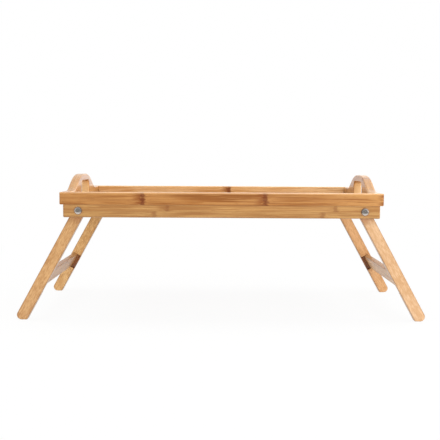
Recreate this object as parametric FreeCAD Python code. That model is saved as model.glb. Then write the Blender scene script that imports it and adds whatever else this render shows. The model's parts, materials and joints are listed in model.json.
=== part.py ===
import FreeCAD, Part
import math
import os

Vector = FreeCAD.Vector

# ---------------------------------------------------------------------------
# Bamboo bed tray table with two folding leg frames, legs open.
# Millimetres and degrees. X runs along the tray, Y from front (-) to back (+),
# Z up from the floor. The origin is on the floor, under the middle of the tray.
# Each piece is drawn once, for the front or the right, and mirrored.
# ---------------------------------------------------------------------------

# Tray frame
TRAY_LENGTH = 500.0  # over the ends of the upper rails; folded leg frames meet below about 460
TRAY_DEPTH = 300.0  # over the outer faces of the rails
RAIL_THICK = 12.0  # front and back rails, upper and lower
UPPER_RAIL_HEIGHT = 19.3
LOWER_INSET = 5.5  # lower frame is this much shorter at each end
STOP_BAR_THICK = 7.0
END_BOARD_THICK = 14.0

# Carrying handles, which rise from the end boards
HANDLE_RISE = 25.3  # top of the handle above the rim of the tray
HANDLE_TOP_LENGTH = 74.0  # between the corners where the top meets its slopes
HANDLE_SLOPE = 25.0
HANDLE_CROWN_RADIUS = 120.0
HANDLE_FLARE_RADIUS = 60.0
GRIP_HEIGHT = 12.0  # wood left above the hand slot
SLOT_LENGTH = 72.0
SLOT_HEIGHT = 23.5
SLOT_TOP_RADIUS = 11.0
SLOT_BOTTOM_RADIUS = 5.0

# Tray panel, held in grooves of the upper frame
PANEL_THICK = 4.0
PANEL_LIP = 2.0  # wood under the groove
GROOVE_DEPTH = 4.0
PANEL_PLAY = 0.05  # above and below the panel in its groove
PANEL_EDGE_PLAY = 0.3

# Legs and crossbars
LEG_LENGTH = 198.0  # from the pivot down the middle of the leg to the floor
LEG_SPLAY = 28.8  # from upright, leg against its stop
LEG_WIDTH = 18.5
LEG_THICK = 12.0
LEG_RECESS = 1.2  # folded legs lie this far inside the lower frame
TOE_RADIUS = 7.5
HEEL_RADIUS = 2.0
CROSSBAR_WIDTH = 27.5
CROSSBAR_THICK = 8.0
CROSSBAR_DOWN = 130.0  # from the pivot to the middle of the crossbar
CROSSBAR_SETBACK = 7.15  # open end of the housing, inside of the crossbar
HOUSING_DEPTH = 5.0  # cut into the inner face of each leg
HOUSING_PLAY = 0.1
STOP_PLAY = 0.3  # between an open leg and the stop bar

# Pivot hardware
BOLT_DIAMETER = 6.0
BOLT_HEAD_DIAMETER = 12.4
BOLT_HEAD_RIM = 0.9
BOLT_HEAD_HEIGHT = 3.1
SOCKET_FLATS = 4.0
SOCKET_DEPTH = 1.9
BOLT_TIP_CHAMFER = 0.6
BOLT_TIP_OUT = 1.0  # past the end of the nut
BOLT_PLAY = 0.1  # round the bolt in the rail, the washers and the nut
LEG_BORE_PLAY = 0.08
SIDE_PLAY = 0.3  # leg to washer
WASHER_THICK = 1.0
SPACER_DIAMETER = 16.0
WASHER_DIAMETER = 12.0
NUT_FLATS = 10.0
NUT_HEIGHT = 5.0
NUT_CHAMFER = 0.5
INSERT_WALL = 0.7  # nylon ring, from the bolt to the collar
COLLAR_WALL = 0.7  # steel round the nylon ring
COLLAR_HEIGHT = 1.8

# Dowels and screws that hold the frames together
DOWEL_DIAMETER = 4.0
DOWEL_IN_RAIL = 8.0
DOWEL_IN_BAR = 12.0
DOWEL_PLAY = 0.05
DOWEL_END_PLAY = 0.25
DOWEL_CHAMFER = 0.5
DOWEL_TO_GROOVE = 0.5  # between an upper dowel and the end board's groove
UPPER_DOWEL_INSETS = (6.0, 5.8)  # from the bottom and from the rim of the upper frame
LOWER_DOWEL_INSETS = (5.0, 5.2)  # from the bottom and from the top of the lower frame
SCREW_TO_GROOVE = 0.25  # between a screw and the rail's groove
SCREW_DIAMETER = 3.5
SCREW_HEAD_DIAMETER = 6.6
SCREW_HEAD_HEIGHT = 2.6
SCREW_LENGTH = 30.0
SCREW_TIP = 4.0
SCREW_SINK = 0.4  # head below the underside of the rail
SCREW_PLAY = 0.05
SCREW_POSITIONS = (-0.72, -0.25, 0.25, 0.72)  # of half the tray's length
RECESS_WIDTH = 1.0  # cross recess in the screw head
RECESS_SPAN = 3.6
RECESS_DEPTH = 1.5

# Rounded edges
EDGE_ROUND = 2.5  # top, ends and handles
INNER_ROUND = 1.5  # edges that face into the tray
JOINT_EASE = 0.7  # edges where the upper and lower frames meet
LEG_ROUND = 1.3
CROSSBAR_ROUND = 1.0

# ---------------------------------------------------------------------------
# Sizes that follow
# ---------------------------------------------------------------------------
SPLAY_SIN = math.sin(math.radians(LEG_SPLAY))
SPLAY_COS = math.cos(math.radians(LEG_SPLAY))
HALF_LENGTH = TRAY_LENGTH / 2
HALF_DEPTH = TRAY_DEPTH / 2
LOWER_HALF = HALF_LENGTH - LOWER_INSET
RAIL_INNER = HALF_DEPTH - RAIL_THICK

LOWER_RAIL_HEIGHT = LEG_WIDTH + LEG_RECESS
PIVOT_Z = LEG_LENGTH * SPLAY_COS
LOWER_Z = PIVOT_Z - LEG_RECESS - LEG_WIDTH / 2
UPPER_Z = LOWER_Z + LOWER_RAIL_HEIGHT
RIM_Z = UPPER_Z + UPPER_RAIL_HEIGHT
HANDLE_Z = RIM_Z + HANDLE_RISE
PANEL_Z = UPPER_Z + PANEL_LIP + PANEL_PLAY

END_INNER = HALF_LENGTH - END_BOARD_THICK
STOP_INNER = LOWER_HALF - STOP_BAR_THICK
LEG_REACH = ((LEG_RECESS + LEG_WIDTH / 2) * SPLAY_SIN + LEG_WIDTH / 2) / SPLAY_COS
PIVOT_X = STOP_INNER - STOP_PLAY - LEG_REACH

LEG_OUTER_Y = RAIL_INNER - WASHER_THICK - SIDE_PLAY
LEG_INNER_Y = LEG_OUTER_Y - LEG_THICK
NUT_WASHER_Y = LEG_INNER_Y - SIDE_PLAY
NUT_Y = NUT_WASHER_Y - WASHER_THICK
NUT_END_Y = NUT_Y - NUT_HEIGHT - COLLAR_HEIGHT
CROSSBAR_HALF = LEG_INNER_Y + HOUSING_DEPTH
CROSSBAR_INNER = -LEG_WIDTH / 2 + CROSSBAR_SETBACK
INSERT_DIAMETER = BOLT_DIAMETER + 2 * INSERT_WALL
COLLAR_DIAMETER = INSERT_DIAMETER + 2 * COLLAR_WALL
RUN_OUT = 5.0  # how far a cutting shape runs past what it cuts
SAME_PLACE = 0.001  # points nearer than this count as one


# ---------------------------------------------------------------------------
# Drawing helpers
# ---------------------------------------------------------------------------
def rounded_face(corners):
    """Flat face through (point, radius) corners, each corner an arc of its radius."""
    tangents = []
    count = len(corners)
    for index, (point, radius) in enumerate(corners):
        back = (corners[index - 1][0] - point).normalize()
        ahead = (corners[(index + 1) % count][0] - point).normalize()
        half_angle = back.getAngle(ahead) / 2
        run = radius / math.tan(half_angle)
        bisector = (back + ahead).normalize()
        middle = point + bisector * (radius / math.sin(half_angle) - radius)
        tangents.append((point + back * run, middle, point + ahead * run))
    edges = []
    for index, (start, middle, end) in enumerate(tangents):
        if corners[index][1] > 0:
            edges.append(Part.Arc(start, middle, end).toShape())
        next_start = tangents[(index + 1) % count][0]
        if end.distanceToPoint(next_start) > SAME_PLACE:
            edges.append(Part.LineSegment(end, next_start).toShape())
    return Part.Face(Part.Wire(edges))


def front_outline(x_low, x_high, z_low, z_high, y, radii):
    """Rounded rectangle seen from the front; radii start at low X, low Z, then turn to high X."""
    points = (
        Vector(x_low, y, z_low),
        Vector(x_high, y, z_low),
        Vector(x_high, y, z_high),
        Vector(x_low, y, z_high),
    )
    return rounded_face(list(zip(points, radii)))


def side_outline(y_low, y_high, z_low, z_high, x, radii):
    """Rounded rectangle seen from the end; radii start at low Y, low Z, then turn to high Y."""
    points = (
        Vector(x, y_low, z_low),
        Vector(x, y_high, z_low),
        Vector(x, y_high, z_high),
        Vector(x, y_low, z_high),
    )
    return rounded_face(list(zip(points, radii)))


def plan_outline(x_low, x_high, y_low, y_high, z, radii):
    """Rounded rectangle seen from above; radii start at low X, low Y, then turn to high X."""
    points = (
        Vector(x_low, y_low, z),
        Vector(x_high, y_low, z),
        Vector(x_high, y_high, z),
        Vector(x_low, y_high, z),
    )
    return rounded_face(list(zip(points, radii)))


def box(x_low, x_high, y_low, y_high, z_low, z_high):
    corner = Vector(x_low, y_low, z_low)
    return Part.makeBox(x_high - x_low, y_high - y_low, z_high - z_low, corner)


def rod_y(diameter, x, y_low, y_high, z):
    """Round bar along Y."""
    return Part.makeCylinder(diameter / 2, y_high - y_low, Vector(x, y_low, z), Vector(0, 1, 0))


def round_edges(shape, radius, chosen):
    """Fillet every edge for which chosen(edge's middle point) is true."""
    edges = [edge for edge in shape.Edges if chosen(edge.CenterOfMass)]
    return shape.makeFillet(radius, edges)


def to_back(shape):
    return shape.mirror(Vector(0, 0, 0), Vector(0, 1, 0))


def to_left(shape):
    return shape.mirror(Vector(0, 0, 0), Vector(1, 0, 0))


def leg_point(down, outward, y):
    """Point of the right leg frame: down the leg from the pivot and outward across it."""
    x = PIVOT_X + down * SPLAY_SIN + outward * SPLAY_COS
    return Vector(x, y, PIVOT_Z - down * SPLAY_COS + outward * SPLAY_SIN)


# ---------------------------------------------------------------------------
# Holes that several pieces share
# ---------------------------------------------------------------------------
def dowel_places(x, z_low, z_high, insets):
    """Centres of a lower and an upper dowel, set in from the bottom and the top of a corner."""
    return [(x, z_low + insets[0]), (x, z_high - insets[1])]


UPPER_DOWEL_X = END_INNER + GROOVE_DEPTH + DOWEL_TO_GROOVE + DOWEL_DIAMETER / 2
UPPER_DOWELS = dowel_places(UPPER_DOWEL_X, UPPER_Z, RIM_Z, UPPER_DOWEL_INSETS)
LOWER_DOWELS = dowel_places(LOWER_HALF - STOP_BAR_THICK / 2, LOWER_Z, UPPER_Z, LOWER_DOWEL_INSETS)
SCREW_Y = -(RAIL_INNER + GROOVE_DEPTH + SCREW_TO_GROOVE + SCREW_DIAMETER / 2)


def dowel_holes(places):
    """Holes across the right front corner, in the rail and in the end of the bar behind it."""
    y_low = -RAIL_INNER - DOWEL_IN_RAIL
    y_high = -RAIL_INNER + DOWEL_IN_BAR
    diameter = DOWEL_DIAMETER + 2 * DOWEL_PLAY
    return Part.makeCompound([rod_y(diameter, x, y_low, y_high, z) for x, z in places])


def dowels(places):
    """Chamfered dowels of the right front corner."""
    y_low = -RAIL_INNER - DOWEL_IN_RAIL + DOWEL_END_PLAY
    y_high = -RAIL_INNER + DOWEL_IN_BAR - DOWEL_END_PLAY
    pins = []
    for x, z in places:
        pin = rod_y(DOWEL_DIAMETER, x, y_low, y_high, z)
        rims = [edge for edge in pin.Edges if edge.Closed]
        pins.append(pin.makeChamfer(DOWEL_CHAMFER, rims))
    return pins


def screw_profile(play):
    """Half section of a countersunk screw, from the middle of its head to its tip."""
    base = LOWER_Z + SCREW_SINK
    neck = base + SCREW_HEAD_HEIGHT
    tip = base + SCREW_LENGTH
    head = SCREW_HEAD_DIAMETER / 2 + play
    shank = SCREW_DIAMETER / 2 + play
    return [
        Vector(0, 0, base),
        Vector(head, 0, base),
        Vector(shank, 0, neck),
        Vector(shank, 0, tip - SCREW_TIP),
        Vector(0, 0, tip + play),
    ]


def turned(points):
    """Solid turned about the Z axis from a half section."""
    outline = Part.makePolygon(points + points[:1])
    return Part.Face(outline).revolve(Vector(0, 0, 0), Vector(0, 0, 1), 360)


def screw_positions():
    return [Vector(share * HALF_LENGTH, SCREW_Y, 0) for share in SCREW_POSITIONS]


def screw_holes():
    """Pilot holes and countersinks of the front rails, open to the underside."""
    hole = turned(screw_profile(SCREW_PLAY))
    sink = Part.makeCylinder(
        SCREW_HEAD_DIAMETER / 2 + SCREW_PLAY,
        RUN_OUT + SCREW_SINK,
        Vector(0, 0, LOWER_Z - RUN_OUT),
    )
    hole = hole.fuse(sink)
    return Part.makeCompound([hole.translated(place) for place in screw_positions()])


def frame_screws():
    """Countersunk screws up through the front lower rail, with a cross recess."""
    screw = turned(screw_profile(0))
    base = LOWER_Z + SCREW_SINK
    half_span = RECESS_SPAN / 2
    half_width = RECESS_WIDTH / 2
    slot = box(-half_span, half_span, -half_width, half_width, base, base + RECESS_DEPTH)
    screw = screw.cut(slot)
    screw = screw.cut(slot.rotated(Vector(0, 0, 0), Vector(0, 0, 1), 90))
    return [screw.translated(place) for place in screw_positions()]


def panel_grooves():
    """The space that the grooves of the four upper boards leave for the tray panel."""
    half_x = END_INNER + GROOVE_DEPTH
    half_y = RAIL_INNER + GROOVE_DEPTH
    z_high = PANEL_Z + PANEL_THICK + PANEL_PLAY
    return box(-half_x, half_x, -half_y, half_y, PANEL_Z - PANEL_PLAY, z_high)


# ---------------------------------------------------------------------------
# Tray frame
# ---------------------------------------------------------------------------
def tray_panel():
    """Panel that food stands on, its edges in the grooves."""
    half_x = END_INNER + GROOVE_DEPTH - PANEL_EDGE_PLAY
    half_y = RAIL_INNER + GROOVE_DEPTH - PANEL_EDGE_PLAY
    return box(-half_x, half_x, -half_y, half_y, PANEL_Z, PANEL_Z + PANEL_THICK)


def upper_rail():
    """Front upper rail: rounded along its top and at its ends, grooved for the panel."""
    front = front_outline(-HALF_LENGTH, HALF_LENGTH, UPPER_Z, RIM_Z, -HALF_DEPTH, [EDGE_ROUND] * 4)
    section = side_outline(
        -HALF_DEPTH, -RAIL_INNER, UPPER_Z, RIM_Z, -HALF_LENGTH, [JOINT_EASE, 0, INNER_ROUND, EDGE_ROUND]
    )
    plan = plan_outline(
        -HALF_LENGTH, HALF_LENGTH, -HALF_DEPTH, -RAIL_INNER, UPPER_Z, [EDGE_ROUND, EDGE_ROUND, 0, 0]
    )
    rail = front.extrude(Vector(0, RAIL_THICK, 0))
    rail = rail.common(section.extrude(Vector(TRAY_LENGTH, 0, 0)))
    rail = rail.common(plan.extrude(Vector(0, 0, UPPER_RAIL_HEIGHT)))
    rail = rail.cut(panel_grooves())
    rail = rail.cut(dowel_holes(UPPER_DOWELS))
    rail = rail.cut(to_left(dowel_holes(UPPER_DOWELS)))
    return rail.cut(screw_holes())


def lower_rail():
    """Front lower rail: carries the leg pivots, screwed up into the upper rail."""
    front = front_outline(
        -LOWER_HALF, LOWER_HALF, LOWER_Z, UPPER_Z, -HALF_DEPTH, [EDGE_ROUND, EDGE_ROUND, 0, 0]
    )
    section = side_outline(
        -HALF_DEPTH, -RAIL_INNER, LOWER_Z, UPPER_Z, -LOWER_HALF, [INNER_ROUND, INNER_ROUND, 0, JOINT_EASE]
    )
    plan = plan_outline(
        -LOWER_HALF, LOWER_HALF, -HALF_DEPTH, -RAIL_INNER, LOWER_Z, [EDGE_ROUND, EDGE_ROUND, 0, 0]
    )
    rail = front.extrude(Vector(0, RAIL_THICK, 0))
    rail = rail.common(section.extrude(Vector(2 * LOWER_HALF, 0, 0)))
    rail = rail.common(plan.extrude(Vector(0, 0, LOWER_RAIL_HEIGHT)))
    bolt_hole = rod_y(
        BOLT_DIAMETER + 2 * BOLT_PLAY, PIVOT_X, -HALF_DEPTH - RUN_OUT, -RAIL_INNER + RUN_OUT, PIVOT_Z
    )
    for hole in (bolt_hole, dowel_holes(LOWER_DOWELS)):
        rail = rail.cut(hole)
        rail = rail.cut(to_left(hole))
    return rail.cut(screw_holes())


def handle_outline():
    """Outline of an end board seen from the end, with the bell shape of its handle."""
    corner = HANDLE_TOP_LENGTH / 2
    foot = corner + HANDLE_RISE / math.tan(math.radians(HANDLE_SLOPE))
    half = [
        (RAIL_INNER, UPPER_Z, 0),
        (RAIL_INNER, RIM_Z, 0),
        (foot, RIM_Z, HANDLE_FLARE_RADIUS),
        (corner, HANDLE_Z, HANDLE_CROWN_RADIUS),
    ]
    back = [(Vector(END_INNER, y, z), radius) for y, z, radius in half]
    front = [(Vector(END_INNER, -y, z), radius) for y, z, radius in reversed(half)]
    return rounded_face(back + front)


def end_board():
    """Right end board: handle with a hand slot, edges rounded for the hand."""
    board = handle_outline().extrude(Vector(END_BOARD_THICK, 0, 0))
    slot_top = HANDLE_Z - GRIP_HEIGHT
    half_slot = SLOT_LENGTH / 2
    slot_radii = [SLOT_BOTTOM_RADIUS, SLOT_BOTTOM_RADIUS, SLOT_TOP_RADIUS, SLOT_TOP_RADIUS]
    slot = side_outline(
        -half_slot, half_slot, slot_top - SLOT_HEIGHT, slot_top, END_INNER - RUN_OUT, slot_radii
    )
    board = board.cut(slot.extrude(Vector(END_BOARD_THICK + 2 * RUN_OUT, 0, 0)))

    for face_x in (HALF_LENGTH, END_INNER):
        board = round_edges(
            board,
            EDGE_ROUND,
            lambda middle: abs(middle.x - face_x) < SAME_PLACE
            and middle.z > UPPER_Z + EDGE_ROUND
            and abs(middle.y) < RAIL_INNER - SAME_PLACE,
        )
    board = board.cut(panel_grooves())
    board = board.cut(dowel_holes(UPPER_DOWELS))
    return board.cut(to_back(dowel_holes(UPPER_DOWELS)))


def stop_bar():
    """Right end bar of the lower frame, which the open legs lean on."""
    section = front_outline(
        STOP_INNER, LOWER_HALF, LOWER_Z, UPPER_Z, -RAIL_INNER, [JOINT_EASE, EDGE_ROUND, 0, 0]
    )
    bar = section.extrude(Vector(0, 2 * RAIL_INNER, 0))
    bar = bar.cut(dowel_holes(LOWER_DOWELS))
    return bar.cut(to_back(dowel_holes(LOWER_DOWELS)))


# ---------------------------------------------------------------------------
# Leg frames
# ---------------------------------------------------------------------------
def leg():
    """Right front leg: round top at the pivot, foot cut flat for the floor, blind housing."""
    half = LEG_WIDTH / 2
    toe_down = (PIVOT_Z + half * SPLAY_SIN) / SPLAY_COS
    heel_down = (PIVOT_Z - half * SPLAY_SIN) / SPLAY_COS
    outline = rounded_face(
        [
            (leg_point(-half, -half, -LEG_OUTER_Y), half),
            (leg_point(-half, half, -LEG_OUTER_Y), half),
            (leg_point(toe_down, half, -LEG_OUTER_Y), TOE_RADIUS),
            (leg_point(heel_down, -half, -LEG_OUTER_Y), HEEL_RADIUS),
        ]
    )
    blank = outline.extrude(Vector(0, LEG_THICK, 0))
    faces_y = (-LEG_OUTER_Y, -LEG_INNER_Y)
    blank = round_edges(
        blank, LEG_ROUND, lambda middle: min(abs(middle.y - y) for y in faces_y) < SAME_PLACE
    )
    bore = rod_y(
        BOLT_DIAMETER + 2 * LEG_BORE_PLAY, PIVOT_X, -LEG_OUTER_Y - RUN_OUT, -LEG_INNER_Y + RUN_OUT, PIVOT_Z
    )
    return blank.cut(bore).cut(housing())


def crossbar_section(inward, play, y):
    """Section across the crossbar; inward is how far it reaches towards the inner edge."""
    top = CROSSBAR_DOWN - CROSSBAR_WIDTH / 2 - play
    bottom = CROSSBAR_DOWN + CROSSBAR_WIDTH / 2 + play
    outer = CROSSBAR_INNER + CROSSBAR_THICK + play
    return [
        leg_point(top, inward, y),
        leg_point(top, outer, y),
        leg_point(bottom, outer, y),
        leg_point(bottom, inward, y),
    ]


def housing():
    """Blind housing for the crossbar's end, left open at the leg's inner edge."""
    corners = crossbar_section(-LEG_WIDTH / 2 - RUN_OUT, HOUSING_PLAY, -CROSSBAR_HALF - HOUSING_PLAY)
    face = rounded_face([(corner, 0) for corner in corners])
    return face.extrude(Vector(0, HOUSING_DEPTH + HOUSING_PLAY + RUN_OUT, 0))


def crossbar():
    """Flat bar between the legs of the right frame, its ends in the legs' housings."""
    corners = crossbar_section(CROSSBAR_INNER, 0, -CROSSBAR_HALF)
    face = rounded_face([(corner, CROSSBAR_ROUND) for corner in corners])
    return face.extrude(Vector(0, 2 * CROSSBAR_HALF, 0))


# ---------------------------------------------------------------------------
# Pivot hardware, right front
# ---------------------------------------------------------------------------
def on_pivot(shape):
    """Carry a piece drawn about the Z axis to the pivot, with Z turned to point inward, +Y."""
    level = shape.rotated(Vector(0, 0, 0), Vector(1, 0, 0), -90)
    return level.translated(Vector(PIVOT_X, 0, PIVOT_Z))


def ring(outer_diameter, inner_diameter, z_low, height):
    outer = Part.makeCylinder(outer_diameter / 2, height, Vector(0, 0, z_low))
    return outer.cut(Part.makeCylinder(inner_diameter / 2, height, Vector(0, 0, z_low)))


def corner_radius(flats):
    """Radius over the corners of a hexagon of that width across its flats."""
    return flats / math.sqrt(3)


def hexagon(flats, z_low, height):
    """Hexagonal bar; the seventh point closes its outline."""
    points = []
    for step in range(7):
        angle = math.radians(60 * step)
        points.append(Vector(math.cos(angle), math.sin(angle), 0) * corner_radius(flats))
    base = Part.Face(Part.makePolygon(points)).translated(Vector(0, 0, z_low))
    return base.extrude(Vector(0, 0, height))


def pivot_bolt():
    """Domed bolt with a hexagon socket, its head on the outer face of the lower rail."""
    seat = -HALF_DEPTH
    head_radius = BOLT_HEAD_DIAMETER / 2
    rise = BOLT_HEAD_HEIGHT - BOLT_HEAD_RIM
    dome_radius = (head_radius**2 + rise**2) / (2 * rise)
    dome_centre = seat - BOLT_HEAD_HEIGHT + dome_radius
    dome = Part.makeSphere(dome_radius, Vector(0, 0, dome_centre))
    head = Part.makeCylinder(head_radius, BOLT_HEAD_HEIGHT, Vector(0, 0, seat - BOLT_HEAD_HEIGHT))
    head = head.common(dome)
    tip = -NUT_END_Y + BOLT_TIP_OUT
    shank_radius = BOLT_DIAMETER / 2
    shank = Part.makeCylinder(shank_radius, tip - seat, Vector(0, 0, seat))
    tip_edges = [edge for edge in shank.Edges if edge.Closed and edge.CenterOfMass.z > tip - SAME_PLACE]
    shank = shank.makeChamfer(BOLT_TIP_CHAMFER, tip_edges)
    socket = hexagon(SOCKET_FLATS, seat - BOLT_HEAD_HEIGHT, SOCKET_DEPTH)
    return on_pivot(head.fuse(shank).removeSplitter().cut(socket))


def leg_spacer():
    """Plastic washer between the lower rail and the leg."""
    return on_pivot(ring(SPACER_DIAMETER, BOLT_DIAMETER + 2 * BOLT_PLAY, -RAIL_INNER, WASHER_THICK))


def nut_washer():
    """Steel washer between the leg and the lock nut."""
    return on_pivot(ring(WASHER_DIAMETER, BOLT_DIAMETER + 2 * BOLT_PLAY, -NUT_WASHER_Y, WASHER_THICK))


def lock_nut():
    """Hexagon nut with a collar that holds the nylon insert."""
    seat = -NUT_Y
    nut = hexagon(NUT_FLATS, seat, NUT_HEIGHT)
    blank = Part.makeCylinder(corner_radius(NUT_FLATS), NUT_HEIGHT, Vector(0, 0, seat))
    rims = [edge for edge in blank.Edges if edge.Closed]
    nut = nut.common(blank.makeChamfer(NUT_CHAMFER, rims))
    nut = nut.fuse(Part.makeCylinder(COLLAR_DIAMETER / 2, COLLAR_HEIGHT, Vector(0, 0, seat + NUT_HEIGHT)))
    bore_radius = BOLT_DIAMETER / 2 + BOLT_PLAY
    nut = nut.cut(Part.makeCylinder(bore_radius, NUT_HEIGHT + COLLAR_HEIGHT, Vector(0, 0, seat)))
    pocket = Part.makeCylinder(INSERT_DIAMETER / 2, COLLAR_HEIGHT, Vector(0, 0, seat + NUT_HEIGHT))
    return on_pivot(nut.cut(pocket))


def nut_insert():
    """Nylon ring in the collar of the lock nut."""
    bore = BOLT_DIAMETER + 2 * BOLT_PLAY
    return on_pivot(ring(INSERT_DIAMETER, bore, -NUT_Y + NUT_HEIGHT, COLLAR_HEIGHT))


# ---------------------------------------------------------------------------
# Nodes
# ---------------------------------------------------------------------------
def front_and_back(shapes):
    return shapes + [to_back(shape) for shape in shapes]


def all_corners(shapes):
    pair = front_and_back(shapes)
    return pair + [to_left(shape) for shape in pair]


def add_pair(nodes, name, shape):
    """Add the right hand piece and its mirror image on the left."""
    nodes["right_" + name] = [shape]
    nodes["left_" + name] = [to_left(shape)]


def build_nodes():
    nodes = {}
    for name, rail in (("upper_rail", upper_rail()), ("lower_rail", lower_rail())):
        nodes["front_" + name] = [rail]
        nodes["back_" + name] = [to_back(rail)]
    nodes["tray_panel"] = [tray_panel()]
    add_pair(nodes, "end_board", end_board())
    add_pair(nodes, "stop_bar", stop_bar())
    add_pair(nodes, "front_leg", leg())
    add_pair(nodes, "back_leg", to_back(leg()))
    add_pair(nodes, "crossbar", crossbar())
    add_pair(nodes, "front_pivot_bolt", pivot_bolt())
    add_pair(nodes, "back_pivot_bolt", to_back(pivot_bolt()))
    add_pair(nodes, "front_lock_nut", lock_nut())
    add_pair(nodes, "back_lock_nut", to_back(lock_nut()))
    nodes["lock_nut_inserts"] = all_corners([nut_insert()])
    nodes["leg_spacers"] = all_corners([leg_spacer()])
    nodes["nut_washers"] = all_corners([nut_washer()])
    nodes["upper_corner_dowels"] = all_corners(dowels(UPPER_DOWELS))
    nodes["lower_corner_dowels"] = all_corners(dowels(LOWER_DOWELS))
    nodes["frame_screws"] = front_and_back(frame_screws())
    return nodes


def main():
    os.makedirs("parts", exist_ok=True)
    for name, shapes in build_nodes().items():
        solids = [solid for shape in shapes for solid in shape.Solids]
        shape = solids[0] if len(solids) == 1 else Part.makeCompound(solids)
        shape.exportStep(os.path.join("parts", name + ".step"))
        print(f"{name}: {len(solids)} solid(s), valid {shape.isValid()}, {shape.Volume / 1000:.2f} cm3")
    print(f"rim {RIM_Z:.2f}, handle {HANDLE_Z:.2f}, pivot x {PIVOT_X:.2f} z {PIVOT_Z:.2f}")


main()
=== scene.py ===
# %% [markdown]
# # A bamboo bed tray table
#
# The object is a low table for eating or reading in bed: a shallow bamboo tray with a hand hold at
# each end, and two leg frames that fold up under it. Its wood and its hardware come ready shaped in
# the frame, at their real size. What is missing is the finish: strip bamboo under a satin varnish,
# steel bolts, nylon washers, and the light and camera of a product photograph.
#
# Everything is in metres. X runs along the tray, Y from front to back and Z up from the floor.

import json
import math

import bmesh
import bpy
from mathutils import Euler, Matrix, Vector


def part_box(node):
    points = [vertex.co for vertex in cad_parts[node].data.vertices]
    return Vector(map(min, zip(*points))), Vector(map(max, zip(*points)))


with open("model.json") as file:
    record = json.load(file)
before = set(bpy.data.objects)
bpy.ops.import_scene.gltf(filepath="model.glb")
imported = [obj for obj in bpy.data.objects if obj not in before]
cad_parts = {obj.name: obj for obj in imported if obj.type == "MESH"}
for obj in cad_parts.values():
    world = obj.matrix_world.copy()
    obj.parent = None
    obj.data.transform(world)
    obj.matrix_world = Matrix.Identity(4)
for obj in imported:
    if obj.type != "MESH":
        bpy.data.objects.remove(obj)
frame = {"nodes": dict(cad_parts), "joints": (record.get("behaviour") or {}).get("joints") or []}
scene = bpy.context.scene
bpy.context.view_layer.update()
print("pieces in the frame:", len(frame["nodes"]))

# %% [markdown]
# ## Where things are
#
# The finishes follow the pieces: the grain of a leg runs down the leg, and the scorch of a housing
# sits where the crossbar enters it. Those places are read from the frame, so that a finish still
# fits when the tray or its legs change. A leg turns on its pivot, which is a joint of the frame, from
# its open slope up to level, so its range is a right angle more than its slope. A box gives the size
# of a piece that stands square. Legs and crossbars lean, so their half widths are measured on their
# meshes, along the leg and across it.

# %% Read the pivot, the legs, the crossbar and the rails
QUARTER = math.radians(90)

right_fold = next(joint for joint in frame["joints"] if joint["name"] == "right_leg_fold")
PIVOT = Vector(right_fold["pos_m"])
LEG_SPLAY = math.radians(right_fold["range_deg"][1]) - QUARTER
DOWN_LEG = Vector((math.sin(LEG_SPLAY), 0, -math.cos(LEG_SPLAY)))
ACROSS_LEG = Vector((math.cos(LEG_SPLAY), 0, math.sin(LEG_SPLAY)))


def middle_of(node):
    """The middle of a piece's box at rest."""
    low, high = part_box(node)
    return (low + high) / 2


def half_width(node, direction):
    """Half of a piece's size along a direction, measured on its mesh."""
    reach = [vertex.co.dot(direction) for vertex in frame["nodes"][node].data.vertices]
    return (max(reach) - min(reach)) / 2


LEG_MIDDLE_Y = middle_of("right_back_leg").y
LEG_HALF = half_width("right_back_leg", ACROSS_LEG)
CROSSBAR_DOWN = (middle_of("right_crossbar") - PIVOT).dot(DOWN_LEG)
CROSSBAR_HALF = half_width("right_crossbar", DOWN_LEG)
RAIL_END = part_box("front_upper_rail")[1].x
RAIL_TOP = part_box("front_upper_rail")[1].z
print("pivot", [round(value, 4) for value in PIVOT], "slope", round(math.degrees(LEG_SPLAY), 1))
print("crossbar", round(CROSSBAR_DOWN, 4), "down the leg")
print("half widths of leg and crossbar", round(LEG_HALF, 5), round(CROSSBAR_HALF, 5))

# %% [markdown]
# ## Building a material in code
#
# A finish on this table is a graph of nodes, and writing each node and link by hand hides the idea
# behind the typing. This small class adds one node per call and returns the socket that comes out, so
# the rest of the file reads like a sum. Colours are given as they look on a screen, from 0 to 255,
# and turned into the linear values that a shader wants.
#
# Two kinds of numbers return in every finish. A GRAIN is how many changes per metre a noise has along
# each of its three directions. A FADE tells at which value a change starts and at which it is full,
# and where two more numbers follow, they are its lowest and its highest share.

# %% A helper for node graphs
def colour(red, green, blue):
    """A screen colour as the linear colour of a shader."""
    linear = []
    for value in (red, green, blue):
        share = value / 255
        linear.append(share / 12.92 if share <= 0.04045 else ((share + 0.055) / 1.055) ** 2.4)
    return (*linear, 1)


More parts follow.
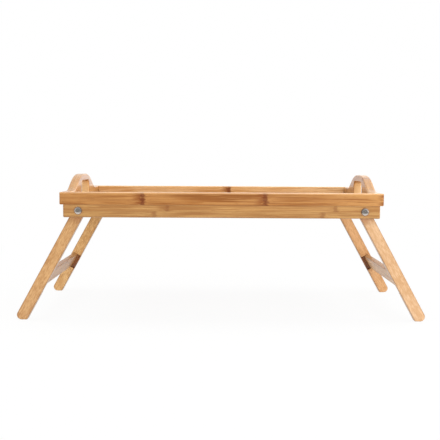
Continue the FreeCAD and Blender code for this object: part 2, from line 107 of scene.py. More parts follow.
class Graph:
    """A node graph that grows by one node per call; each call returns the socket that it made."""

    def __init__(self, tree):
        self.tree = tree

    def put(self, socket, value):
        """Link a socket to an input, or set the input to a plain value."""
        if isinstance(value, bpy.types.NodeSocket):
            self.tree.links.new(value, socket)
        else:
            socket.default_value = value

    def node(self, kind, values=(), output=0, **settings):
        made = self.tree.nodes.new(kind)
        for name, setting in settings.items():
            setattr(made, name, setting)
        for socket, value in dict(values).items():
            self.put(made.inputs[socket], value)
        return made.outputs[output]

    def math(self, operation, *values):
        return self.node("ShaderNodeMath", enumerate(values), operation=operation)

    def times(self, first, *others):
        """The values multiplied with each other."""
        for other in others:
            first = self.math("MULTIPLY", first, other)
        return first

    def vector(self, operation, *values, output=0):
        return self.node("ShaderNodeVectorMath", enumerate(values), output, operation=operation)

    def split(self, place):
        parts = self.node("ShaderNodeSeparateXYZ", {0: place}).node.outputs
        return parts["X"], parts["Y"], parts["Z"]

    def join(self, x=0.0, y=0.0, z=0.0):
        return self.node("ShaderNodeCombineXYZ", {"X": x, "Y": y, "Z": z})

    def fade(self, value, start, end, low=0.0, high=1.0):
        """low below start, high above end and a soft change between them."""
        values = {"Value": value, "From Min": start, "From Max": end, "To Min": low, "To Max": high}
        return self.node("ShaderNodeMapRange", values, interpolation_type="SMOOTHSTEP")

    def between(self, share, low, high):
        """A number that goes from low to high as share goes from 0 to 1."""
        return self.node("ShaderNodeMix", {"Factor": share, "A": low, "B": high})

    def mix(self, share, low, high):
        """A colour that goes from low to high as share goes from 0 to 1."""
        made = self.node("ShaderNodeMix", {0: share}, data_type="RGBA").node
        first, second = [socket for socket in made.inputs if socket.type == "RGBA"]
        self.put(first, low)
        self.put(second, high)
        return next(socket for socket in made.outputs if socket.type == "RGBA")

    def noise(self, place, per_metre, detail=2.0, roughness=0.5):
        """Noise with that many changes per metre along each of its three directions."""
        stretched = self.vector("MULTIPLY", place, per_metre)
        values = {"Vector": stretched, "Scale": 1.0, "Detail": detail, "Roughness": roughness}
        return self.node("ShaderNodeTexNoise", values)

    def wander(self, place, per_metre, width):
        """Noise about zero, as a distance of up to half of width to either side."""
        return self.math("MULTIPLY_ADD", self.noise(place, per_metre, detail=1), width, -width / 2)

    def ray_kinds(self):
        """Whether a ray comes from the camera, and whether it was mirrored or went through glass."""
        rays = self.node("ShaderNodeLightPath").node.outputs
        mirrored = self.math("MAXIMUM", rays["Is Glossy Ray"], rays["Is Transmission Ray"])
        return rays["Is Camera Ray"], mirrored


class Finish(Graph):
    """The graph of a new material, whose shader is called surface."""

    def __init__(self, name):
        self.material = bpy.data.materials.new(name)
        self.material.use_nodes = True
        super().__init__(self.material.node_tree)
        self.surface = self.tree.nodes["Principled BSDF"]

    def set(self, **values):
        """Set the shader's own inputs; an underscore stands for a space."""
        for name, value in values.items():
            self.put(self.surface.inputs[name.replace("_", " ")], value)

    def bump(self, height, distance, strength):
        values = {"Strength": strength, "Distance": distance, "Height": height}
        self.set(Normal=self.node("ShaderNodeBump", values))

    def facing(self):
        """How far the surface faces along X, Y and Z, each from -1 to 1."""
        return self.split(self.node("ShaderNodeTexCoord", output="Normal"))


def coat(node, finish):
    """Give a piece of the frame its finish."""
    mesh = frame["nodes"][node].data
    mesh.materials.clear()
    mesh.materials.append(finish.material)
    print(node, "wears", finish.material.name)


# %% [markdown]
# ## Bamboo: which way the grain runs
#
# A bamboo board is glued from strips that were cut from the wall of the cane. The strips run the
# whole length of the board, so everything in the pattern is long in one direction and fine in the
# other two. The pattern is therefore written once, for grain along X, and each piece turns its own
# coordinates until its grain lies along X: not at all for a rail, a quarter turn for an end board,
# and by the slope of the leg for a leg. The panel turns round its grain, so that its strips lie side
# by side. Left-hand pieces are mirrored first.

# %% Coordinates along the grain
ALONG_X = (0, 0, 0)
ALONG_X_FLAT = (QUARTER, 0, 0)
ALONG_Y = (0, 0, -QUARTER)
ALONG_LEG = (0, LEG_SPLAY - QUARTER, 0)
ALONG_CROSSBAR = (0, LEG_SPLAY - QUARTER, -QUARTER)


def grain_place(finish, turn, origin, side):
    """Object coordinates turned so that X runs along the grain, counted from origin."""
    mirror = Vector((side, 1, 1))
    turned_origin = Euler(turn).to_matrix() @ (mirror * Vector(origin))
    values = {
        "Vector": finish.node("ShaderNodeTexCoord", output="Object"),
        "Location": -turned_origin,
        "Rotation": turn,
        "Scale": mirror,
    }
    return finish.node("ShaderNodeMapping", values)


# %% [markdown]
# ## Bamboo: glued strips
#
# Strips differ a little in tone and meet in glue lines a tenth of a millimetre wide. An image could
# hold them, but it would stretch at the rounded edges and repeat. Counting strips from the place
# itself gives lines that run round a corner onto the next face, as they do in real wood. Adding half
# a strip before the count puts the middle of a strip on the origin. White noise of the strip's number
# gives each strip its own tone.

# %% Strips and glue lines
GLUE_LINE = 0.00016


def strip_tone(finish, place, seed, thick, wide):
    """A random value for each glued strip, and how near its glue line is, from 0 to 1."""
    counted = finish.vector("MULTIPLY_ADD", place, (0, 1 / thick, 1 / wide), (0, 0.5, 0.5))
    number = finish.vector("ADD", finish.vector("FLOOR", counted), (seed, 0, 0))
    tone = finish.node("ShaderNodeTexWhiteNoise", {"Vector": number}, "Value", noise_dimensions="3D")
    inside = finish.split(finish.vector("FRACTION", counted))
    lines = []
    for share, size in ((inside[1], thick), (inside[2], wide)):
        from_edge = finish.math("MINIMUM", share, finish.math("SUBTRACT", 1.0, share))
        lines.append(finish.fade(finish.times(from_edge, size), 0, GLUE_LINE, 1, 0))
    return tone, finish.math("MAXIMUM", *lines)


# %% [markdown]
# ## Bamboo: growth nodes
#
# Every 15 to 30 cm the cane had a growth node, where a wall crossed it and a sheath was attached. On
# a planed strip it shows as a dark ragged band a few millimetres long, with brown streaks that run
# out of one side of it, and the fibres swell round it. The distance to the nearest multiple of the
# spacing gives the band and its streaks, and noise breaks them up, because clean lines look like
# pencil marks. Neighbouring strips come from other canes, so each next strip has its nodes a step
# further along, and on the broad boards they are scattered as well.

# %% Growth nodes
BAND_CORE = 0.0004
BAND_END = 0.0045
STREAK_FULL = 0.004
STREAK_END = 0.02
SWELL_FULL = 0.002
SWELL_END = 0.02
RAGGED = 0.012
RAGGED_MIDDLE = 0.42
RAGGED_GRAIN = (170, 330, 330)
STREAKY_GRAIN = (60, 420, 420)
STREAKY_FADE = (0.38, 0.52)
WANDER = 0.006
BEND_GRAIN = (25, 150, 150)


def growth_nodes(finish, place, wide, spacing, first, step, strength, scatter):
    """The dark band of each growth node, the streaks beside it, and the swell of fibres round it."""
    along, _, across = finish.split(place)
    strip = finish.math("FLOOR", finish.math("MULTIPLY_ADD", across, 1 / wide, 0.5))
    chance = finish.node("ShaderNodeTexWhiteNoise", {"W": strip}, "Value", noise_dimensions="1D")
    start = finish.math("MULTIPLY_ADD", strip, -step, -first)
    start = finish.math("MULTIPLY_ADD", chance, scatter, start)
    moved = finish.math("ADD", along, start)
    moved = finish.math("ADD", moved, finish.wander(place, BEND_GRAIN, WANDER))
    turns = finish.math("FRACT", finish.math("MULTIPLY_ADD", moved, 1 / spacing, 0.5))
    away = finish.times(finish.math("SUBTRACT", turns, 0.5), spacing)
    distance = finish.math("ABSOLUTE", away)
    ragged = finish.noise(place, RAGGED_GRAIN, detail=3)
    width = finish.math("MULTIPLY_ADD", ragged, -RAGGED, RAGGED * RAGGED_MIDDLE)
    band = finish.fade(finish.math("ADD", distance, width), BAND_CORE, BAND_END, strength, 0)
    left = finish.fade(away, -STREAK_END, -STREAK_FULL, 0, strength)
    right = finish.fade(away, 0, BAND_END, 1, 0)
    streaky = finish.fade(finish.noise(place, STREAKY_GRAIN, detail=2), *STREAKY_FADE)
    swell = finish.fade(distance, SWELL_FULL, SWELL_END, 1, 0)
    return band, finish.times(left, right, streaky), swell


# %% [markdown]
# ## Bamboo: fibres and varnish
#
# Inside a strip the fibres are straight and dense. Seen from a step away they are streaks a few
# millimetres apart and many centimetres long, with single darker and paler lines among them; from
# close by there are fine fibres and short flecks. That is the same noise at four sizes, each
# stretched along the grain, over clouds of a paler tone. A satin varnish lies over it, so that the
# wood has a soft gloss of its own and a thin clear coat, and a surface that is seen at a low angle
# mirrors the pale room.

# %% Strip bamboo: thickness and width of a strip, its growth nodes, and the sizes of its fibres
STRIPS = (0.006, 0.021)
NODES = (0.25, 0.05, 0.1, 0.8, 0.15)
STREAK_GRAIN = Vector((9, 250, 250))
LINE_GRAIN = Vector((14, 620, 620))
FIBRE_GRAIN = (24, 1500, 1500)
FLECK_GRAIN = (90, 2200, 2200)
CLOUD_GRAIN = (9, 60, 60)
SWAY_GRAIN = (60, 90, 90)
STREAK_FADE = (0.4, 0.62)
CLOUD_FADE = (0.42, 0.66, 0, 0.5)
DARK_LINE_FADE = (0.54, 0.64, 0, 0.75)
PALE_LINE_FADE = (0.46, 0.36, 0, 0.65)
FIBRE_FADE = (0.52, 0.72, 0, 0.5)
FLECK_FADE = (0.58, 0.72, 0, 0.4)
ENDS_START = 0.06
STRIP_SHIFT = 0.5
SEED_SHIFT = 0.17

# %% Strip bamboo: levels of tone, gloss and relief
BAND = colour(114, 48, 0)
BAND_SHARE = 0.78
SMEAR_SHARE = 0.8
TONE_SPREAD = 0.14
GLUE_DARKER = 0.25
SMOOTHEST = 0.3
FIBRE_ROUGHNESS = 0.16
SWELL_RELIEF = 0.6
FIBRE_RELIEF = 0.5
GLUE_RELIEF = -0.5


def bamboo(name, tones, turn, origin, seed, side=1, strips=STRIPS, nodes=NODES, short=1, ends=(0, 0)):
    """Varnished strip bamboo. tones are its pale, middle and dark fibres and its growth nodes.

    nodes are the spacing of the growth nodes, the place of the first one, the step from strip to
    strip, their strength and their scatter. short tells how many times shorter the streaks are than
    on a rail, and ends how far the board fades to its pale tone towards its two ends.
    """
    pale, middle, dark, brown = [colour(*tone) for tone in tones]
    finish = Finish(name)
    place = grain_place(finish, turn, origin, side)
    tone, glue = strip_tone(finish, place, seed, *strips)
    band, smear, swell = growth_nodes(finish, place, strips[1], *nodes)

    offset = finish.math("MULTIPLY_ADD", tone, STRIP_SHIFT, seed * SEED_SHIFT)
    sway = finish.wander(place, SWAY_GRAIN, WANDER)
    shift = finish.math("MULTIPLY_ADD", sway, swell, offset)
    lookup = finish.vector("ADD", place, finish.join(x=offset, z=shift))
    shorter = Vector((short, 1, 1))
    streaks = finish.noise(lookup, STREAK_GRAIN * shorter, detail=3, roughness=0.6)
    lines = finish.noise(lookup, LINE_GRAIN * shorter, detail=2)
    fibres = finish.noise(lookup, FIBRE_GRAIN, detail=3, roughness=0.6)
    flecks = finish.noise(lookup, FLECK_GRAIN, detail=1)
    clouds = finish.noise(lookup, CLOUD_GRAIN, detail=1)

    body = finish.mix(finish.fade(streaks, *STREAK_FADE), dark, middle)
    body = finish.mix(finish.fade(clouds, *CLOUD_FADE), body, pale)
    along = finish.split(place)[0]
    # Fades to the pale tone towards the ends; on the upper rails the fade to the right end is painted
    # light.
    fade_left = finish.fade(along, -ENDS_START, -RAIL_END, 0, ends[0])
    fade_right = finish.fade(along, ENDS_START, RAIL_END, 0, ends[1])
    body = finish.mix(finish.math("MAXIMUM", fade_left, fade_right), body, pale)
    body = finish.mix(finish.fade(lines, *DARK_LINE_FADE), body, dark)
    body = finish.mix(finish.fade(lines, *PALE_LINE_FADE), body, pale)
    body = finish.mix(finish.fade(fibres, *FIBRE_FADE), body, dark)
    body = finish.mix(finish.fade(flecks, *FLECK_FADE), body, brown)
    level = finish.math("MULTIPLY_ADD", tone, TONE_SPREAD, 1 - TONE_SPREAD / 2)
    level = finish.times(level, finish.math("MULTIPLY_ADD", glue, -GLUE_DARKER, 1.0))
    body = finish.node("ShaderNodeHueSaturation", {"Value": level, "Color": body})
    body = finish.mix(finish.times(smear, SMEAR_SHARE), body, brown)
    body = finish.mix(finish.times(band, BAND_SHARE), body, BAND)

    finish.body = body
    finish.place = place
    roughness = finish.math("MULTIPLY_ADD", fibres, FIBRE_ROUGHNESS, SMOOTHEST)
    finish.set(Base_Color=body, Roughness=roughness)
    finish.set(IOR=1.5, Coat_Weight=0.4, Coat_Roughness=0.14)
    relief = finish.math("MULTIPLY_ADD", swell, SWELL_RELIEF, finish.times(fibres, FIBRE_RELIEF))
    relief = finish.math("MULTIPLY_ADD", glue, GLUE_RELIEF, relief)
    finish.bump(relief, distance=0.0002, strength=0.35)
    return finish


# %% [markdown]
# ## Bamboo: the tones of the boards
#
# No two boards come from the same cane. In the photograph the front upper rail is the deepest honey,
# the back one is mellower, the lower rails are tan, and the legs are pale, those on the right palest.
# So each leg has tones of its own, and the other boards share theirs by kind. The leg tones also
# hold painted light: the left back leg is painted paler, to make up for the shade it gets under the
# tray, and the left front leg darker, to make up for the light that falls on it. Every board still
# has its own seed, which moves all its noise, and so no two boards look alike.

# %% Tones: pale fibres, middle, dark fibres, growth nodes
HONEY = ((202, 145, 80), (172, 108, 42), (150, 89, 28), (138, 70, 8))
MELLOW = ((236, 204, 156), (210, 164, 104), (194, 142, 84), (150, 88, 34))
TAN = ((205, 158, 95), (187, 136, 75), (165, 112, 56), (144, 87, 38))
YELLOW = ((208, 160, 96), (190, 138, 76), (168, 114, 56), (146, 88, 38))
LIGHT = ((232, 190, 134), (214, 166, 106), (196, 144, 88), (156, 96, 46))
CROSSBAR_TONES = {
    "left": YELLOW,
    "right": ((234, 192, 136), (220, 174, 118), (200, 150, 96), (156, 98, 48)),
}
# The left back leg's paler tones and the left front leg's darker ones are painted light and shade.
LEG_TONES = {
    "left_front": ((215, 171, 117), (195, 147, 94), (179, 129, 76), (150, 96, 48)),
    "left_back": ((246, 200, 136), (228, 180, 116), (208, 157, 93), (170, 114, 60)),
    "right_front": ((234, 195, 153), (221, 179, 135), (210, 163, 114), (180, 126, 76)),
    "right_back": ((226, 178, 126), (212, 162, 110), (196, 144, 90), (160, 106, 58)),
}

# %% [markdown]
# ## Painted rim highlights, sawn ends and painted shade
#
# The rounded rims are painted paler than the faces below them: a painted highlight where the top
# light falls on them. The sawn ends of the rails soaked up varnish and show the dots of the fibre
# bundles. Along the edges of a stick a painted shade darkens the rounded edges that turn away from
# the light. The ends of the hand slots get painted light, and the grips get a painted shade where
# they face up. Each is one more colour, mixed in by the height, by the distance from the middle of
# the stick, or by the way that the surface faces.

# %% Helpers for rims, sawn ends and edges
SOFT_EDGE = 0.0001
RIM_START = 0.0035
RIM_FULL = 0.0012
RIM_SHARE = 0.28
# The pale colour of the painted highlight on the rounded rims.
RIM_HIGHLIGHT = colour(*LIGHT[0])
END_GRAIN = colour(196, 146, 86)
BUNDLES = colour(140, 92, 46)
BUNDLE_GRAIN = (0, 1300, 1300)
BUNDLE_FADE = (0.5, 0.6)
SAWN_FADE = (0.9, 0.98, 0, 0.75)
EDGE_START = 0.0022
EDGE_FULL = 0.0006
# The colour of the painted shade along the edges of a stick.
EDGE_SHADE = colour(150, 104, 62)


def paint_rim_highlight(finish, half_height):
    """Paint a highlight: fade a rail to a pale colour over the last millimetres under its top."""
    across = finish.split(finish.place)[2]
    rim = finish.fade(across, half_height - RIM_START, half_height - RIM_FULL, 0, RIM_SHARE)
    finish.set(Base_Color=finish.mix(rim, finish.body, RIM_HIGHLIGHT))


def soak_ends(finish):
    """Give a rail's two ends the open fibres of end grain, with the dots of their bundles."""
    dots = finish.fade(finish.noise(finish.place, BUNDLE_GRAIN, detail=1), *BUNDLE_FADE)
    soaked = finish.mix(dots, END_GRAIN, BUNDLES)
    sawn = finish.fade(finish.math("ABSOLUTE", finish.facing()[0]), *SAWN_FADE)
    finish.body = finish.mix(sawn, finish.body, soaked)


def paint_edge_shade(finish, across, half, share):
    """Paint shade on the two long, rounded edges of a stick by darkening them."""
    from_middle = finish.math("ABSOLUTE", across)
    edge = finish.fade(from_middle, half - EDGE_START, half - EDGE_FULL, 0, share)
    finish.body = finish.mix(edge, finish.body, EDGE_SHADE)
    finish.set(Base_Color=finish.body)


# %% Helpers for the hand slots and the grips
# The pale colour of the painted light on the ends of the hand slots.
SLOT_END_LIGHT = colour(240, 198, 140)
CUT_FADE = (0.3, 0.8, 0, 0.9)
# The colour of the painted shade on the parts of the grips that face up.
GRIP_SHADE = colour(160, 110, 44)
GRIP_FADE = (0.5, 0.9)
GRIP_GRAIN = (4, 260, 4)
GRIP_STRIPE_FADE = (0.42, 0.56, 0.25, 0.65)


def paint_slot_end_light(finish, slot_half):
    """Paint light on the ends of a hand slot, which face along the grain, by fading them to a pale
    colour.
    """
    along = finish.math("ABSOLUTE", finish.split(finish.place)[0])
    inside = finish.fade(along, slot_half, slot_half + SOFT_EDGE, 1, 0)
    cut = finish.fade(finish.math("ABSOLUTE", finish.facing()[1]), *CUT_FADE)
    finish.body = finish.mix(finish.times(cut, inside), finish.body, SLOT_END_LIGHT)


def paint_grip_shade(finish, top):
    """Paint shade on the crown and the flanks of a handle, which face up and lie above the rails."""
    upward = finish.fade(finish.facing()[2], *GRIP_FADE)
    stripes = finish.fade(finish.noise(finish.place, GRIP_GRAIN, detail=1), *GRIP_STRIPE_FADE)
    above = finish.fade(finish.split(finish.place)[2], top - SOFT_EDGE, top)
    grip = finish.times(upward, stripes, above)
    finish.set(Base_Color=finish.mix(grip, finish.body, GRIP_SHADE))


# %% [markdown]
# ## Rails
#
# An upper rail shows one strip over its whole height and a lower rail shows two, so each kind has
# strips of its own size. In the photograph the upper rails grow paler towards the right, and the
# front one a little towards the left. The paling towards the right is painted light, for the
# stronger light on that side. Most growth nodes of the front rails, and the middle one of the back
# upper rail, stand where the photograph has them.

# %% Upper rails: tones, seed, growth nodes, and how far each end fades
ONE_STRIP = (0.006, 0.026)

upper = {
    "front": (HONEY, 3.0, (0.1889, -0.1216, 0, 1.0, 0), (0.4, 1.0)),
    "back": (MELLOW, 12.0, (0.2542, 0.015, 0, 1.0, 0), (0, 0.9)),
}
for end, (tones, seed, nodes, ends) in upper.items():
    rail = end + "_upper_rail"
    middle = middle_of(rail)
    grain = {"strips": ONE_STRIP, "nodes": nodes, "ends": ends}
    finish = bamboo("bamboo_" + rail, tones, ALONG_X, middle, seed, **grain)
    soak_ends(finish)
    # Painted highlight on the rounded top rim.
    paint_rim_highlight(finish, RAIL_TOP - middle.z)
    coat(rail, finish)

# %% Lower rails: seed and growth nodes
TWO_STRIPS = (0.006, 0.00985)
LOWER_STRIP = Vector((0, 0, -TWO_STRIPS[1] / 2))
RAIL_EDGE = 0.4

lower = {
    "front": (7.0, (0.2603, 0.1564, 0.02, 0.4, 0)),
    "back": (17.0, (0.27, 0.06, 0.11, 0.6, 0)),
}
for end, (seed, nodes) in lower.items():
    rail = end + "_lower_rail"
    origin = middle_of(rail) + LOWER_STRIP
    finish = bamboo("bamboo_" + rail, TAN, ALONG_X, origin, seed, strips=TWO_STRIPS, nodes=nodes)
    soak_ends(finish)
    # Painted shade on the top and bottom edges of the lower rail: at the joint above it and
    # underneath.
    from_middle = finish.math("ADD", finish.split(finish.place)[2], LOWER_STRIP.z)
    paint_edge_shade(finish, from_middle, TWO_STRIPS[1], RAIL_EDGE)
    coat(rail, finish)

# %% [markdown]
# ## End boards, stop bars and panel
#
# The end boards and the stop bars run across the tray, and their grain runs with them. The panel's
# grain runs along the tray. All are the same yellow bamboo, from strips about 2 cm wide. The two end
# boards have their growth nodes in different places, as two boards from one pile would.

# %% End boards, stop bars and panel
SLOT_HALF = 0.0365
END_BOARD_SEED = 20.0
STOP_BAR_SEED = 30.0
PANEL_SEED = 41.0

for side, name, first in ((-1, "left", 0), (1, "right", 0.108)):
    board = name + "_end_board"
    middle = middle_of(board)
    nodes = (0.25, first, 0.1, 0.9, 0)
    seed = END_BOARD_SEED + side
    finish = bamboo("bamboo_" + board, YELLOW, ALONG_Y, middle, seed, side, nodes=nodes)
    # Painted light on the ends of the hand slot.
    paint_slot_end_light(finish, SLOT_HALF)
    # Painted shade on the parts of the grip that face up.
    paint_grip_shade(finish, RAIL_TOP - middle.z)
    coat(board, finish)
    bar = name + "_stop_bar"
    seed = STOP_BAR_SEED + side
    coat(bar, bamboo("bamboo_" + bar, YELLOW, ALONG_Y, middle_of(bar), seed, side))
panel = bamboo("bamboo_tray_panel", YELLOW, ALONG_X_FLAT, middle_of("tray_panel"), PANEL_SEED)
coat("tray_panel", panel)

# %% [markdown]
# ## Legs and crossbars
#
# A crossbar ends in a housing that is routed into the inner face of each leg and runs out at the
# leg's inner edge. In the photograph the open part of that housing is dark brown. That brown is one
# more colour, mixed in only inside the housing, with a few streaks. Near its pivot a leg is darker
# too: a painted shade, where the rail above it shades the top of the leg.
# The legs were cut from between two growth nodes, and their streaks are so short that they look
# mottled. The crossbars have the thinnest varnish.

# %% Helpers for the top of a leg and its housing
TOP_FULL = 0.011
TOP_END = 0.024
TOP_SHARE = 0.45
# The colour of the painted shade under the rail, at the top of a leg.
UNDER_RAIL_SHADE = colour(172, 100, 50)
HOUSING_HALF = CROSSBAR_HALF + 0.00015
HOUSING_FLOOR = 0.0008
HOUSING_OUTER = 0.0061
# The streaked dark brown mixed into the open part of the housing.
HOUSING_STREAK_GRAIN = (30, 700, 500)
HOUSING_STREAK_FADE = (0.42, 0.58)
HOUSING_PALE_BROWN = colour(160, 102, 56)
HOUSING_DARK_BROWN = colour(102, 54, 24)


def paint_shade_under_rail(finish):
    """Paint the shade under the rail on a leg, near its pivot."""
    near_pivot = finish.fade(finish.split(finish.place)[0], TOP_FULL, TOP_END, TOP_SHARE, 0)
    finish.body = finish.mix(near_pivot, finish.body, UNDER_RAIL_SHADE)


def darken_housing(finish, inner_side):
    """Darken the walls and the floor of the housing, on the inner side of the leg's middle."""
    along, depth, across = finish.split(finish.place)
    down = finish.math("ABSOLUTE", finish.math("SUBTRACT", along, CROSSBAR_DOWN))
    into = finish.times(depth, inner_side)
    length = finish.fade(down, HOUSING_HALF, HOUSING_HALF + SOFT_EDGE, 1, 0)
    sunk = finish.fade(into, HOUSING_FLOOR - SOFT_EDGE, HOUSING_FLOOR)
    width = finish.fade(across, HOUSING_OUTER, HOUSING_OUTER + SOFT_EDGE, 1, 0)
    streaks = finish.fade(finish.noise(finish.place, HOUSING_STREAK_GRAIN, detail=2), *HOUSING_STREAK_FADE)
    housing_brown = finish.mix(streaks, HOUSING_PALE_BROWN, HOUSING_DARK_BROWN)
    inside = finish.times(length, sunk, width)
    finish.set(Base_Color=finish.mix(inside, finish.body, housing_brown))


# %% Legs and crossbars
NO_NODES = (0.6, -0.2, 0, 0, 0)
MOTTLED = 10
LEG_EDGE = 0.55
LEG_SEED = 50.0
CROSSBAR_EDGE = 0.6
CROSSBAR_SEED = 60.0

for side, name in ((-1, "left"), (1, "right")):
    for back, end in ((-1, "front"), (1, "back")):
        tones = LEG_TONES[f"{name}_{end}"]
        leg = f"{name}_{end}_leg"
        origin = (side * PIVOT.x, back * LEG_MIDDLE_Y, PIVOT.z)
        seed = LEG_SEED + 3 * side + back
        grain = {"nodes": NO_NODES, "short": MOTTLED}
        finish = bamboo("bamboo_" + leg, tones, ALONG_LEG, origin, seed, side, **grain)
        # Painted shade on the long edges of the leg.
        paint_edge_shade(finish, finish.split(finish.place)[2], LEG_HALF, LEG_EDGE)
        # Painted shade at the top of the leg, under the rail.
        paint_shade_under_rail(finish)
        darken_housing(finish, -back)
        coat(leg, finish)
    bar = name + "_crossbar"
    tones = CROSSBAR_TONES[name]
    seed = CROSSBAR_SEED + side
    finish = bamboo("bamboo_" + bar, tones, ALONG_CROSSBAR, middle_of(bar), seed, side, nodes=NO_NODES)
    finish.set(Coat_Weight=0.1)
    # Painted shade on the long edges of the crossbar.
    paint_edge_shade(finish, finish.split(finish.place)[1], CROSSBAR_HALF, CROSSBAR_EDGE)
    coat(bar, finish)

# %% [markdown]
# ## Steel, nylon and dowels
#
# The pivot bolts are bright plated steel. Their heads were turned, so the fine scratches on them run
# in circles round the bolt. The outer rim of each head is painted brown, a painted reflection of the
# wood round it. All four bolts share one material: the size of X and the height above the floor,
# both counted from the pivot, are the same on each of them. Nuts and washers are a plainer steel,
# and the screws are dull zinc. The spacers and the rings in the nuts are white nylon, which lets a
# little light in. The dowels are bamboo too, but each is one piece, with no strips.

# %% Steel
TURNING_GRAIN = (9000, 3000, 0)
TURNING_ROUGHNESS = 0.14
SMUDGE_GRAIN = (500, 500, 500)
SMUDGE_FADE = (0.35, 0.7)
RIM_FADE = (0.0047, 0.0055, 0, 0.85)
RIM_REFLECTION_BROWN = colour(150, 106, 70)


def steel(name, bright, dull, roughness):
    """Plated steel with turning marks round the pivots and faint smudges."""
    finish = Finish(name)
    along, depth, height = finish.split(finish.node("ShaderNodeTexCoord", output="Object"))
    from_axis = finish.math("SUBTRACT", finish.math("ABSOLUTE", along), PIVOT.x)
    flat = finish.join(x=from_axis, y=finish.math("SUBTRACT", height, PIVOT.z))
    finish.radius = finish.vector("LENGTH", flat, output="Value")
    turned = finish.join(x=finish.radius, y=depth)
    scratches = finish.noise(turned, TURNING_GRAIN, detail=2)
    smudges = finish.fade(finish.noise(flat, SMUDGE_GRAIN, detail=2), *SMUDGE_FADE)
    finish.body = finish.mix(smudges, colour(*bright), colour(*dull))
    finish.set(Base_Color=finish.body, Metallic=1)
    finish.set(Roughness=finish.math("MULTIPLY_ADD", scratches, TURNING_ROUGHNESS, roughness))
    finish.bump(scratches, distance=0.00005, strength=0.2)
    return finish


bright_steel = steel("bright_steel", (200, 194, 190), (176, 172, 170), 0.18)
zinc = steel("zinc_screw", (190, 188, 178), (166, 164, 154), 0.3)
bolt_steel = steel("bolt_steel", (232, 224, 216), (206, 200, 194), 0.18)
# Painted reflection: the outer rim of each bolt head is painted brown, as if it mirrored the wood
# round it.
rim = bolt_steel.fade(bolt_steel.radius, *RIM_FADE)
bolt_steel.set(Base_Color=bolt_steel.mix(rim, bolt_steel.body, RIM_REFLECTION_BROWN))
for name in ("left", "right"):
    for end in ("front", "back"):
        coat(f"{name}_{end}_pivot_bolt", bolt_steel)
        coat(f"{name}_{end}_lock_nut", bright_steel)
coat("nut_washers", bright_steel)
coat("frame_screws", zinc)

# %% Nylon and dowels
MOTTLE_GRAIN = (700, 700, 700)
WHOLE = (0.5, 0.5)

nylon = Finish("white_nylon")
nylon_place = nylon.node("ShaderNodeTexCoord", output="Object")
mottle = nylon.noise(nylon_place, MOTTLE_GRAIN, detail=3)
nylon.set(Base_Color=nylon.mix(mottle, colour(232, 231, 224), colour(212, 210, 200)))
nylon.set(Roughness=nylon.math("MULTIPLY_ADD", mottle, 0.2, 0.35))
nylon.set(Subsurface_Weight=0.15, Subsurface_Scale=0.001)
coat("leg_spacers", nylon)
coat("lock_nut_inserts", nylon)
for node, seed in (("upper_corner_dowels", 71.0), ("lower_corner_dowels", 72.0)):
    grain = {"strips": WHOLE, "nodes": NO_NODES}
    coat(node, bamboo("wood_" + node, LIGHT, ALONG_Y, middle_of(node), seed, **grain))

# %% [markdown]
# ## Floor
#
# The table stands on white. The floor is a plain pale sheet that fades to pure white away from the
# table, and a camera ray sees most of it as white light, so that only a faint shadow stays under the
# feet. Steel and varnish see it white as well, apart from the part in front of the table: the dark
# side of the studio, where the camera stands, goes on down there.

# %% Floor
FLOOR_SIZE = 6.0

grid = bmesh.new()
bmesh.ops.create_grid(grid, x_segments=1, y_segments=1, size=FLOOR_SIZE / 2)
floor_mesh = bpy.data.meshes.new("floor")
grid.to_mesh(floor_mesh)
grid.free()
floor = bpy.data.objects.new("floor", floor_mesh)
scene.collection.objects.link(floor)
print("floor", FLOOR_SIZE, "m wide")

# %% Floor sheet
SHADOW_SHARE = 0.07
WHITE_START = 0.45
WHITE_FULL = 1.0
DARK_ROOM = 0.28
DARK_START = -0.2
DARK_FULL = -0.55

sheet = Finish("floor_sheet")
sheet.set(Base_Color=colour(225, 225, 225), Roughness=1, Specular_IOR_Level=0)
from_camera, mirrored = sheet.ray_kinds()
floor_place = sheet.node("ShaderNodeTexCoord", output="Object")
from_table = sheet.vector("LENGTH", floor_place, output="Value")
white_share = sheet.fade(from_table, WHITE_START, WHITE_FULL, 1 - SHADOW_SHARE, 1.0)
whiteness = sheet.math("MAXIMUM", sheet.times(white_share, from_camera), mirrored)
near_camera = sheet.fade(sheet.split(floor_place)[1], DARK_START, DARK_FULL, 1.0, DARK_ROOM)
glow_level = sheet.between(mirrored, 1.0, near_camera)
glow = sheet.node("ShaderNodeEmission", {"Color": (1, 1, 1, 1), "Strength": glow_level})
blend = sheet.node("ShaderNodeMixShader", {0: whiteness, 1: sheet.surface.outputs[0], 2: glow})
sheet.put(sheet.tree.nodes["Material Output"].inputs["Surface"], blend)
floor_mesh.materials.append(sheet.material)

# %% [markdown]
# ## Light
#
# In the photograph the right-hand legs are a little brighter than the left-hand ones, the inner face
# of the left handle is much brighter than that of the right one, and the back legs are nearly as
# bright as the front ones. So two soft lamps stand in front and to the right, one of them low enough
# to reach under the tray. A long lamp overhead draws the bright line along the rounded rims, one at
# the right lights what faces that way, and one behind keeps the back from going dark. A plain white
# room fills the rest. Steel and varnish see that room brighter at the right and darker in front of
# the table, which gives the domed bolt heads their dark middle. Only the overhead lamp is mirrored:
# the others would fill that middle with white spots.

# %% World
ROOM_LEVEL = 0.68
BRIGHT_SIDE = 1.5
SIDE_FADE = (-0.2, 0.2)
FRONT_FADE = (0.15, 0.7)

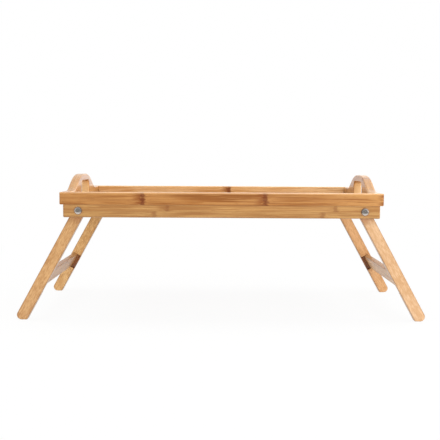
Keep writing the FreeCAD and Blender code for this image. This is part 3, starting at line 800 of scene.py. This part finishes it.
world = bpy.data.worlds.new("studio")
world.use_nodes = True
scene.world = world
studio = Graph(world.node_tree)
from_camera, mirrored = studio.ray_kinds()
direction = studio.node("ShaderNodeTexCoord", output="Generated")
to_front = studio.vector("DOT_PRODUCT", direction, (0, -1, 0), output="Value")
to_right = studio.vector("DOT_PRODUCT", direction, (1, 0, 0), output="Value")
white_room = studio.fade(to_right, *SIDE_FADE, 1.0, BRIGHT_SIDE)
mirrored_room = studio.between(studio.fade(to_front, *FRONT_FADE), white_room, DARK_ROOM)
room = studio.between(mirrored, ROOM_LEVEL, mirrored_room)
background = studio.tree.nodes["Background"]
studio.put(background.inputs["Color"], (1, 1, 1, 1))
studio.put(background.inputs["Strength"], studio.between(from_camera, room, 1.0))
print("room level", ROOM_LEVEL, "and in reflections", DARK_ROOM, "to", BRIGHT_SIDE)

# %% Lamps
AIM = Vector((0, 0, 0.15))


def lamp(name, place, size, power, mirrored=False):
    """A soft rectangular lamp that points at the table."""
    light = bpy.data.lights.new(name, "AREA")
    light.shape = "RECTANGLE"
    light.size, light.size_y = size
    light.energy = power
    made = bpy.data.objects.new(name, light)
    made.location = place
    made.rotation_euler = (AIM - Vector(place)).to_track_quat("-Z", "Y").to_euler()
    made.visible_glossy = mirrored
    scene.collection.objects.link(made)
    print(name, power, "W")


lamp("low_lamp", (0.9, -2.3, 0.4), (1.6, 0.6), 20)
lamp("high_lamp", (1.0, -1.5, 1.6), (1.2, 0.8), 10)
lamp("top_lamp", (0, 0.1, 1.8), (2.6, 0.9), 22, mirrored=True)
lamp("side_lamp", (1.9, -0.2, 0.9), (1.0, 0.7), 8)
lamp("back_lamp", (-0.7, 2.3, 0.9), (1.4, 0.9), 10)

# %% [markdown]
# ## Camera
#
# The photograph looks at the table squarely from the front and slightly down, from 1.3 m. The lens,
# the place and the small turns were found by fitting the corners of both frames, the pivots and the
# feet to the photograph. The lens and the sensor are in millimetres.

# %% Camera
LENS = 60.86
SENSOR = 36
CAMERA_PLACE = (-0.0033, -1.29239, 0.25208)
LOOK_DOWN = math.radians(4.6)
LOOK_RIGHT = math.radians(0.046)
TILT = math.radians(0.307)

camera = bpy.data.objects.new("camera", bpy.data.cameras.new("camera"))
camera.data.lens = LENS
camera.data.sensor_width = SENSOR
heading = Matrix.Rotation(-LOOK_RIGHT, 4, "Z")
pitch = Matrix.Rotation(QUARTER - LOOK_DOWN, 4, "X")
roll = Matrix.Rotation(TILT, 4, "Z")
camera.matrix_world = Matrix.Translation(CAMERA_PLACE) @ heading @ pitch @ roll
scene.collection.objects.link(camera)
scene.camera = camera
scene.view_settings.view_transform = "Standard"
print("camera", LENS, "mm, looking down by", round(math.degrees(LOOK_DOWN), 1), "degrees")
